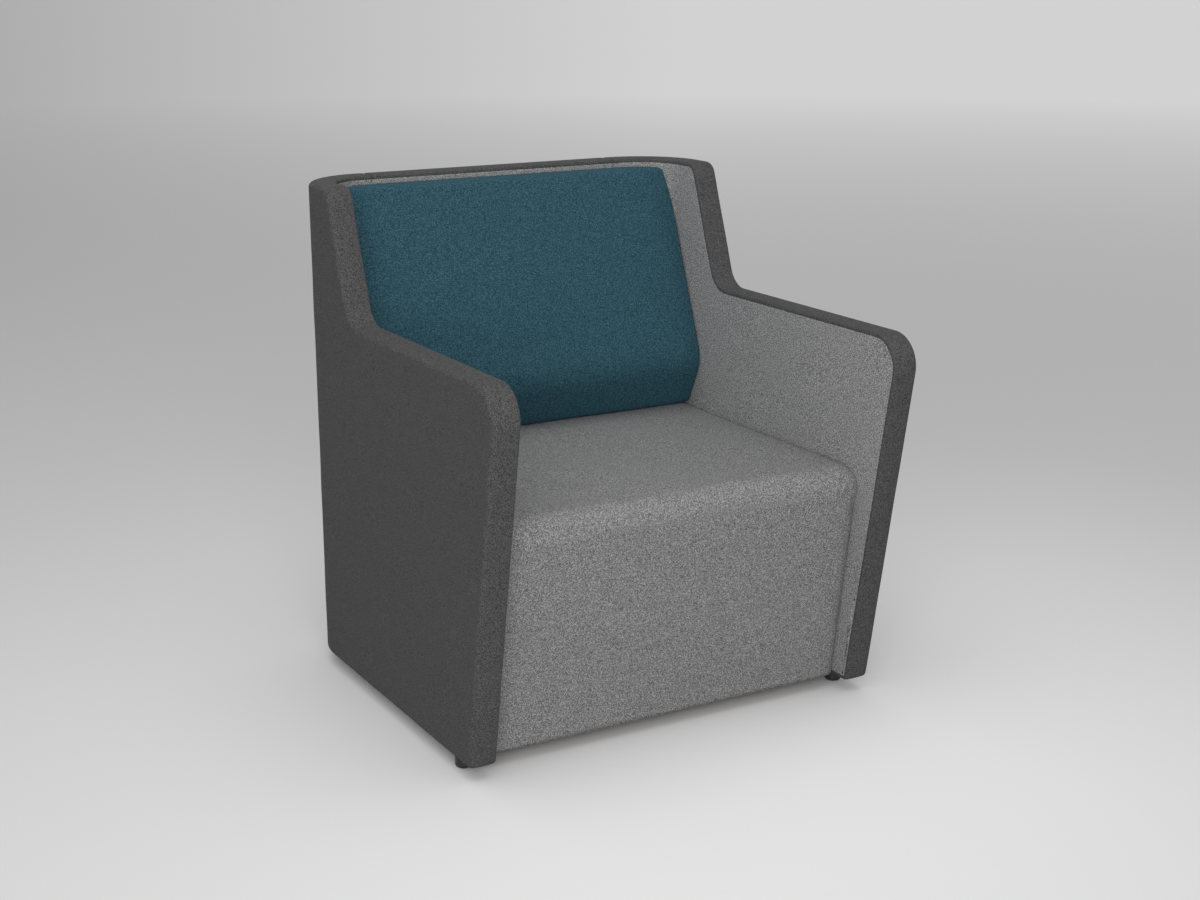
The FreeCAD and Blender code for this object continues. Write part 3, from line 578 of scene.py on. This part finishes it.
# The seat's light grey felt painted about a fifth brighter: painted light for the shaded inside of
# the tub
lining_felt_painted_brighter = felt("lining_felt_painted_brighter", grey(0.115), grey(0.430), 4.5, 0.11, 660.0)
for side, mirror in (("left", -1), ("right", 1)):
    lining = sew(side + "_side_inner_lining",
                 bodywork(side_lines, lining_edge, 86, True, mirror, 0.0002), lining_felt_painted_brighter,
                 [side + "_side_lining"])
lining = sew("back_inner_lining", bodywork(back_lines, lining_edge, 86, False, 1, 0.0002),
             lining_felt_painted_brighter, ["back_lining"])
dress(["left_side_lining", "back_lining", "right_side_lining"], lining_felt_painted_brighter)


# ---- Webbing -----------------------------------------------------------------------------------
# Six elastic bands, stapled from the front board to the rear rail, carry the seat foam.
band_width, band_thickness, band_count = 0.070, 0.0025, 6
band_low, band_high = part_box("seat_webbing")
elastic = Finish("elastic_webbing")
spot = elastic.place()
east, north = (elastic.add("SeparateXYZ", {}, {"Vector": spot}, axis) for axis in (0, 1))
cord = (east * 2600).sum("SINE", east * 2600)
pick = (north * 3400).sum("SINE", north * 3400)
wear = elastic.noise(spot, 90.0)
weave = elastic.blend(cord * 0.25 + wear * 0.6, (0.020, 0.021, 0.024, 1), (0.33, 0.31, 0.27, 1))
elastic.finish(weave, 0.8 + pick * 0.1, (cord + pick) * 0.0001, 0.5)
across = np.linspace(-1, 1, 9)
lengthwise = np.linspace(0, 1, 60)
step = (band_high.x - band_low.x - band_width) / (band_count - 1)
strips = []
for number in range(band_count):
    middle = band_low.x + band_width / 2 + number * step
    x = middle + across[None, :] * band_width / 2 + lengthwise[:, None] * 0
    y = band_low.y + lengthwise[:, None] * (band_high.y - band_low.y) + x * 0
    thinner = band_thickness / 2 * (1 - np.abs(across[None, :]) ** 8 * 0.7) + x * 0
    for way in (-1, 1):
        height = (band_low.z + band_high.z) / 2 + way * thinner
        strips.append(np.stack([x, y, height, x * 0], -1))
    top_strip, low_strip = strips[-1], strips[-2]
    strips.append(np.stack([top_strip[:, 0], low_strip[:, 0]]))
    strips.append(np.stack([top_strip[:, -1], low_strip[:, -1]]))
sew("seat_webbing_bands", strips, elastic.material, ["seat_webbing"])
dress(["seat_webbing"], elastic.material)


# ---- Underside cloth ---------------------------------------------------------------------------
# Thin black cloth stapled under the base frame against dust. Its rear corners follow the tub's.
cloth_low, cloth_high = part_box("underside_cloth")
spun = Finish("black_spun_cloth")
fibre = spun.noise(spun.place(), 480.0, 3.0, 0.7)
spun.finish(spun.blend(fibre, grey(0.012), grey(0.035)), 0.95 - fibre * 0.1, fibre * 0.0002, 0.6,
            Specular_IOR_Level=0.2)


def rear_limit(x, reach, radius):
    """How far back a flat piece reaches at x: straight, then round the tub's inner corner."""
    past = np.maximum(np.abs(x) - corner_x, 0)
    return reach - radius + np.sqrt(np.maximum(radius ** 2 - past ** 2, 0))


cloth_x = np.linspace(cloth_low.x, cloth_high.x, 84)
cloth_y = np.linspace(0, 1, 72)[:, None]
reach = rear_limit(cloth_x, cloth_high.y, cloth_high.x - corner_x)
y = cloth_low.y + cloth_y * (reach - cloth_low.y)[None, :]
x = cloth_x[None, :] + y * 0
sag = 0.0015 * (1 - (x / cloth_high.x) ** 2) * np.sin(cloth_y * math.pi) + y * 0
faces = [np.stack([x, y, level - sag, x * 0], -1) for level in (0.0270, 0.0279)]
walls = [np.stack([faces[0][side], faces[1][side]]) for side in (0, -1)]
walls += [np.stack([faces[0][:, side], faces[1][:, side]]) for side in (0, -1)]
dust_cloth = sew("underside_dust_cloth", faces + walls, spun.material,
                 ["underside_cloth"])
dress(["underside_cloth"], spun.material)


# ---- Seat --------------------------------------------------------------------------------------
# One light grey cloth over the seat foam and down the raked front. Beside the arms the foam is
# softer, so the top and the front fall away there and are tucked in at the lining.
seat_half, seat_top, seat_low, seat_rear = 0.3298, 0.404, 0.025, 0.337
seat_toe, seat_rake = -0.251956, math.radians(8.4)
seat_nose_radius, seat_side_radius, seat_leg, foam_low = 0.036, 0.002, 0.0135, 0.3025
seat_soft_edge, seat_tuck_edge = 0.036, 0.019
light_felt = felt("light_grey_felt", grey(0.094), grey(0.360), 4.6, 0.10)


def seat_front(height):
    return seat_toe - (height - shell_bottom) * math.tan(seat_rake)


def seat_section(inset):
    """Closed outline of the seat from the side, as (y, height): up the front, round its top edge,
    back to the rear, and home along the foam's underside and the inside of the front."""
    lean = inset / math.cos(seat_rake)
    foot = np.array([seat_front(seat_low) + lean, seat_low])
    nose = np.array([seat_front(seat_top - inset) + lean, seat_top - inset])
    rear = np.array([seat_rear, seat_top - inset])
    arc = fillet(foot, nose, rear, seat_nose_radius - inset, 12)
    outer = np.concatenate([[foot], between(foot, arc[0], 46), arc, between(arc[-1], rear, 70),
                            [rear]])
    inside = seat_leg / math.cos(seat_rake)
    inner_foot = np.array([seat_front(seat_low) + inside, seat_low])
    inner_corner = np.array([seat_front(foam_low) + inside, foam_low])
    inner_rear = np.array([seat_rear, foam_low])
    inner = np.concatenate([[inner_foot], between(inner_foot, inner_corner, 12), [inner_corner],
                            between(inner_corner, inner_rear, 24), [inner_rear]])
    return outer, inner


# Where the seat's sections stand: close together beside the arms, where the cloth curves most
roll = np.linspace(0, math.pi / 2, 6)
rolled = seat_side_radius * (1 - np.cos(roll))
from_side = seat_side_radius + np.array([
    0, 0.0011, 0.0024, 0.0039, 0.0056, 0.0075, 0.0096, 0.0119, 0.0144, 0.0172, 0.0204, 0.0242,
    0.0290])
half_stations = np.concatenate([rolled[:-1], from_side, np.linspace(0.037, seat_half, 40)])
stations = np.concatenate([half_stations - seat_half, seat_half - half_stations[-2::-1]])
side_insets = np.concatenate([seat_side_radius * (1 - np.sin(roll[:-1])),
                              np.zeros(len(half_stations) - len(roll) + 1)])
insets = np.concatenate([side_insets, side_insets[-2::-1]])
tilt_low, straight_to = 0.33, 0.1
seat_rows = []
for x, inset in zip(stations, insets):
    outer, inner = seat_section(inset)
    tilt = np.clip((outer[:, 1] - tilt_low) / (seat_top - 0.004 - tilt_low), 0, 1)
    arm = abs(x) / seat_half
    roll_off = max(0.0, 1 - (seat_half - abs(x)) / seat_soft_edge) ** 2
    tuck = max(0.0, 1 - (seat_half - abs(x)) / seat_tuck_edge) ** 2
    down = (0.0010 * arm ** 4 + 0.0030 * roll_off + 0.0045 * tuck
            + 0.0006 * np.sin(x * 23 + outer[:, 0] * 14))
    shrink = (0.0010 * arm ** 4 + 0.0015 * roll_off + 0.0060 * tuck - 0.0012
              + 0.0005 * np.sin(outer[:, 1] * 29 + x * 11))
    outer = outer + np.stack([(1 - tilt) * shrink, -tilt * down], -1)
    loop = np.concatenate([outer, inner[::-1], outer[:1]])
    limit = rear_limit(np.array([x]), seat_rear, seat_half - corner_x)[0]
    back_part = np.clip((loop[:, 0] - straight_to) / (seat_rear - straight_to), 0, None)
    depth = np.where(loop[:, 0] > straight_to, straight_to + back_part * (limit - straight_to),
                     loop[:, 0])
    seat_rows.append(np.stack([depth * 0 + x, depth, loop[:, 1], depth * 0], -1))
seat = sew("seat_upholstery", [np.array(seat_rows)], light_felt,
           ["seat_cover", "seat_foam", "front_foam"])
dress(["seat_cover"], light_felt)


# ---- Back pad ----------------------------------------------------------------------------------
# A shaped foam pad in teal felt, thickest at the small of the back and thin at the top, bolted to
# the back through a board. Its cover is sewn to shape, so it swells between its corners.
pad_rear, pad_low, pad_high = 0.3375, 0.404, 0.830
pad_depths = np.array([[0.128, 0.404], [0.1705, 0.492], [0.042, 0.830]])
pad_round, pad_corner, bulge_radius = 0.007, 0.0795, 0.065
pad_soft_band, pad_swell = 0.036, 0.0050
pad_bulge = fillet(*pad_depths, bulge_radius, 24)
pad_profile = np.concatenate([pad_depths[:1], pad_bulge, pad_depths[2:]])


def pad_loop(height, inset):
    """Plan outline of the pad at one height, drawn in by inset: along the front with its small
    rounded corners, then along each side, round the tub's corner and across the rear."""
    depth = np.interp(height, pad_profile[:, 1], pad_profile[:, 0])
    level = (height - pad_low) / (pad_high - pad_low)
    front, rear = pad_rear - depth + inset, pad_rear - inset
    tuck = 0.0020 * math.sin(math.pi * level) ** 0.7
    corner = np.linspace(0, math.pi / 2, 9)
    side_y = np.concatenate([front + pad_round * (1 - np.cos(corner)),
                             np.linspace(front + pad_round, rear, 40)[1:]])

    def half_width(y):
        behind = np.maximum(y + inset - (pad_rear - pad_corner), 0)
        return corner_x + np.sqrt(np.maximum(pad_corner ** 2 - behind ** 2, 0)) - inset

    receding = pad_round * (1 - np.sin(corner))
    side_x = half_width(side_y)
    side_x[:9] -= receding
    free = np.clip((rear - side_y) / 0.05, 0, 1)
    side_x = side_x - tuck * free
    face_x = np.linspace(-side_x[0], side_x[0], 86)[1:-1]
    fullness = math.sin(math.pi * min(max(level, 0), 1)) ** 0.5
    crown = 0.0040 * (1 - (face_x / side_x[0]) ** 2) ** 0.8 * fullness
    ripple = 0.0005 * np.sin(face_x * 26 + height * 19) * (1 - (face_x / side_x[0]) ** 6)
    beside = np.clip(1 - (side_x[0] - np.abs(face_x)) / pad_soft_band, 0, 1) ** 2
    face_y = front - crown + ripple + pad_swell * (beside - 1)

    # The front grid takes the front and most of each side, the rear grid takes the rest
    turn_points = 42
    front_x = np.concatenate([-side_x[turn_points::-1], face_x, side_x[:turn_points + 1]])
    front_y = np.concatenate([side_y[turn_points::-1], face_y, side_y[:turn_points + 1]])
    tail_x, tail_y = side_x[turn_points:], side_y[turn_points:]
    fill_x = np.linspace(-tail_x[-1], tail_x[-1], len(front_x) - 2 * len(tail_x) + 2)[1:-1]
    rear_x = np.concatenate([-tail_x, fill_x, tail_x[::-1]])
    rear_y = np.concatenate([tail_y, fill_x * 0 + rear, tail_y[::-1]])
    return (np.stack([front_x, front_y, front_x * 0 + height, front_x * 0], -1),
            np.stack([rear_x, rear_y, rear_x * 0 + height, rear_x * 0], -1))


roll = np.linspace(0, math.pi / 2, 8)
levels = np.concatenate([pad_low + pad_round * (1 - np.cos(roll[:-1])),
                         np.linspace(pad_low + pad_round, pad_high - pad_round, 62),
                         pad_high - pad_round * (1 - np.cos(roll[-2::-1]))])
draws = np.concatenate([pad_round * (1 - np.sin(roll[:-1])), np.zeros(62),
                        pad_round * (1 - np.sin(roll[-2::-1]))])
loops = [pad_loop(height, draw) for height, draw in zip(levels, draws)]
fronts, rears = np.array([one[0] for one in loops]), np.array([one[1] for one in loops])
share = np.linspace(0, 1, 14)[:, None, None]
caps = [fronts[end] + share * (rears[end] - fronts[end]) for end in (0, -1)]
teal_felt = felt("teal_felt", (0.0095, 0.0365, 0.0505, 1), (0.046, 0.122, 0.161, 1), 5.0, 0.08)
pad = sew("back_pad_upholstery", [fronts, rears] + caps, teal_felt,
          ["back_pad_cover", "back_pad_foam"])
dress(["back_pad_cover"], teal_felt)
dress(["back_pad_board"], plywood("pad_board_plywood", lambda x, y: y))


# ---- Glides ------------------------------------------------------------------------------------
# Four turned nylon pads on threaded steel studs level the chair. They are moulded black nylon with
# the fine haze and scuffs that a floor leaves.
nylon = Finish("black_nylon")
haze = nylon.noise(nylon.place(), 340.0, 4.0, 0.65)
nylon.finish(nylon.blend(haze, grey(0.008), grey(0.020)), haze * 0.25 + 0.30, haze * 0.00005, 0.5)
dress([name for name in nodes if name.startswith("glide_pad")], nylon.material)
